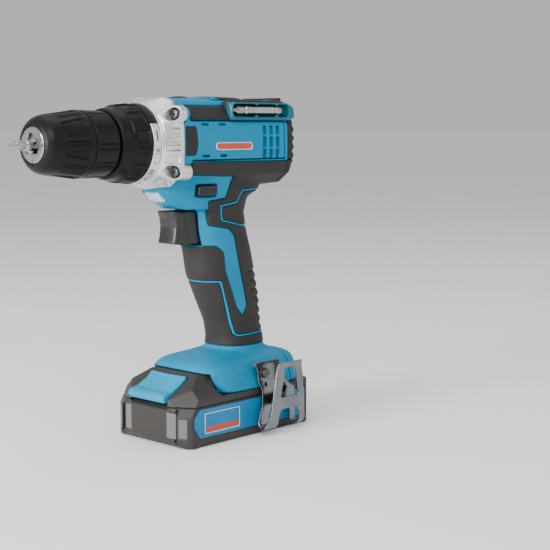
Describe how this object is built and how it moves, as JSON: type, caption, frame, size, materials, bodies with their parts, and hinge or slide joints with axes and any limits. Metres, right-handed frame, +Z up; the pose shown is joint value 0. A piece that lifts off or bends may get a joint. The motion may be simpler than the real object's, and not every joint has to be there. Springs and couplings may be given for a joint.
{
  "type": "cordless drill",
  "caption": "Cordless drill driver with keyless chuck, torque collar, two-speed selector, trigger, belt clip, bit holder and slide-on battery.",
  "frame": {"origin": "centre of the battery's flat bottom face, on which the drill stands", "axes": "+Z up, the chuck points along -X, the drill's left side with the belt clip faces -Y"},
  "size_m": [0.224, 0.0849, 0.2261],
  "materials": {
    "shell": "satin moulded plastic with a fine grain",
    "grip": "matt soft-touch overmould",
    "black_plastic": "satin moulded plastic",
    "silver": "satin silver",
    "steel": "machined",
    "dark_steel": "oiled",
    "motor_steel": "plated",
    "gear": "sintered",
    "armature": "laminated core with copper windings",
    "teal": "satin moulded plastic",
    "battery_shell": "fine grained moulded plastic",
    "cells": "wrapped round cells",
    "lens": "clear",
    "clip": "bright plated spring steel"
  },
  "bodies": {
    "housing": {"housing_left": "shell", "housing_right": "shell", "grip_front_left": "grip", "grip_front_right": "grip", "grip_rear_left": "grip", "grip_rear_right": "grip", "rear_cap": "grip", "top_cover": "grip", "bit_holder": "teal", "gear_case": "silver", "led_lens": "lens", "belt_clip": "clip", "belt_clip_screw": "dark_steel", "case_screw_1": "dark_steel", "case_screw_2": "dark_steel", "case_screw_3": "dark_steel", "case_screw_4": "dark_steel", "housing_screw_1": "dark_steel", "housing_screw_2": "dark_steel", "housing_screw_3": "dark_steel", "motor_can": "motor_steel", "motor_end_cap": "motor_steel", "motor_plate": "motor_steel", "ring_gear_1": "gear", "spindle_bearing": "steel", "switch_body": "black_plastic", "terminal_block": "black_plastic", "clutch_spring": "steel"},
    "spindle": {"spindle": "steel", "chuck_body": "steel", "chuck_rear_sleeve": "black_plastic"},
    "chuck_sleeve": {"chuck_sleeve": "black_plastic", "chuck_nut": "steel"},
    "jaw_1": {"jaw_1": "dark_steel"},
    "jaw_2": {"jaw_2": "dark_steel"},
    "jaw_3": {"jaw_3": "dark_steel"},
    "driver_bit": {"driver_bit": "steel"},
    "planet_2_a": {"planet_2_a": "gear"},
    "planet_2_b": {"planet_2_b": "gear"},
    "planet_2_c": {"planet_2_c": "gear"},
    "carrier_1": {"carrier_1": "gear"},
    "planet_1_a": {"planet_1_a": "gear"},
    "planet_1_b": {"planet_1_b": "gear"},
    "planet_1_c": {"planet_1_c": "gear"},
    "rotor": {"rotor_shaft": "steel", "motor_pinion": "gear", "armature": "armature", "cooling_fan": "black_plastic"},
    "selector": {"speed_selector": "black_plastic", "ring_gear_2": "gear"},
    "torque_collar": {"torque_collar": "black_plastic", "number_ring": "silver"},
    "clutch_nut": {"clutch_nut": "steel"},
    "trigger": {"trigger": "black_plastic"},
    "direction_switch": {"direction_switch": "black_plastic"},
    "spare_bit": {"spare_bit": "steel"},
    "battery": {"battery_case": "battery_shell", "battery_top": "battery_shell", "battery_cells": "cells"},
    "release_button": {"release_button": "shell"}
  },
  "joints": [
    {"name": "spindle_spin", "type": "hinge", "parent": "housing", "child": "spindle", "pos_m": [0, 0, 0.1945], "axis": [1, 0, 0], "continuous": true},
    {"name": "chuck_sleeve_turn", "type": "hinge", "parent": "spindle", "child": "chuck_sleeve", "pos_m": [0, 0, 0.1945], "axis": [-1, 0, 0], "range_deg": [0, 1980]},
    {"name": "jaw_1_slide", "type": "slide", "parent": "spindle", "child": "jaw_1", "axis": [0.9659, 0, 0.2588], "range_m": [0, 0.00705]},
    {"name": "jaw_2_slide", "type": "slide", "parent": "spindle", "child": "jaw_2", "axis": [0.9659, -0.2241, -0.1294], "range_m": [0, 0.00705]},
    {"name": "jaw_3_slide", "type": "slide", "parent": "spindle", "child": "jaw_3", "axis": [0.9659, 0.2241, -0.1294], "range_m": [0, 0.00705]},
    {"name": "bit_pull", "type": "slide", "parent": "spindle", "child": "driver_bit", "axis": [-1, 0, 0], "range_m": [0, 0.06]},
    {"name": "planet_2_a_spin", "type": "hinge", "parent": "spindle", "child": "planet_2_a", "pos_m": [-0.059, 0, 0.2053], "axis": [1, 0, 0], "continuous": true},
    {"name": "planet_2_b_spin", "type": "hinge", "parent": "spindle", "child": "planet_2_b", "pos_m": [-0.059, -0.00935, 0.1891], "axis": [1, 0, 0], "continuous": true},
    {"name": "planet_2_c_spin", "type": "hinge", "parent": "spindle", "child": "planet_2_c", "pos_m": [-0.059, 0.00935, 0.1891], "axis": [1, 0, 0], "continuous": true},
    {"name": "carrier_1_spin", "type": "hinge", "parent": "housing", "child": "carrier_1", "pos_m": [0, 0, 0.1945], "axis": [1, 0, 0], "continuous": true},
    {"name": "planet_1_a_spin", "type": "hinge", "parent": "carrier_1", "child": "planet_1_a", "pos_m": [-0.0475, 0, 0.2053], "axis": [1, 0, 0], "continuous": true},
    {"name": "planet_1_b_spin", "type": "hinge", "parent": "carrier_1", "child": "planet_1_b", "pos_m": [-0.0475, -0.00935, 0.1891], "axis": [1, 0, 0], "continuous": true},
    {"name": "planet_1_c_spin", "type": "hinge", "parent": "carrier_1", "child": "planet_1_c", "pos_m": [-0.0475, 0.00935, 0.1891], "axis": [1, 0, 0], "continuous": true},
    {"name": "rotor_spin", "type": "hinge", "parent": "housing", "child": "rotor", "pos_m": [0, 0, 0.1945], "axis": [1, 0, 0], "continuous": true},
    {"name": "speed_selector_slide", "type": "slide", "parent": "housing", "child": "selector", "axis": [1, 0, 0], "range_m": [0, 0.005]},
    {"name": "torque_collar_turn", "type": "hinge", "parent": "housing", "child": "torque_collar", "pos_m": [0, 0, 0.1945], "axis": [1, 0, 0], "range_deg": [-270, 20]},
    {"name": "clutch_nut_slide", "type": "slide", "parent": "housing", "child": "clutch_nut", "axis": [1, 0, 0], "range_m": [-0.005, 0.0005]},
    {"name": "trigger_pull", "type": "slide", "parent": "housing", "child": "trigger", "axis": [1, 0, 0], "range_m": [0, 0.007], "stiffness_N_per_m": 700, "springref_m": -0.004},
    {"name": "direction_switch_slide", "type": "slide", "parent": "housing", "child": "direction_switch", "axis": [0, 1, 0], "range_m": [-0.003, 0.003]},
    {"name": "spare_bit_pull", "type": "slide", "parent": "housing", "child": "spare_bit", "axis": [0, -0.9659, 0.2588], "range_m": [0, 0.03]},
    {"name": "battery_slide", "type": "slide", "parent": "housing", "child": "battery", "axis": [-1, 0, 0], "range_m": [0, 0.1]},
    {"name": "release_button_press", "type": "slide", "parent": "battery", "child": "release_button", "axis": [0.5034, 0, -0.8641], "range_m": [0, 0.0025], "stiffness_N_per_m": 900, "springref_m": -0.003}
  ],
  "couplings": [
    {"joint": "jaw_1_slide", "follows": "chuck_sleeve_turn", "m_per_rad": 0.00020213},
    {"joint": "jaw_2_slide", "follows": "chuck_sleeve_turn", "m_per_rad": 0.00020213},
    {"joint": "jaw_3_slide", "follows": "chuck_sleeve_turn", "m_per_rad": 0.00020213},
    {"joint": "planet_2_a_spin", "follows": "spindle_spin", "ratio": -2.8},
    {"joint": "planet_2_b_spin", "follows": "spindle_spin", "ratio": -2.8},
    {"joint": "planet_2_c_spin", "follows": "spindle_spin", "ratio": -2.8},
    {"joint": "carrier_1_spin", "follows": "spindle_spin", "ratio": 4.5},
    {"joint": "planet_1_a_spin", "follows": "spindle_spin", "ratio": -12.6},
    {"joint": "planet_1_b_spin", "follows": "spindle_spin", "ratio": -12.6},
    {"joint": "planet_1_c_spin", "follows": "spindle_spin", "ratio": -12.6},
    {"joint": "rotor_spin", "follows": "spindle_spin", "ratio": 20.25},
    {"joint": "clutch_nut_slide", "follows": "torque_collar_turn", "m_per_rad": 0.00104}
  ]
}
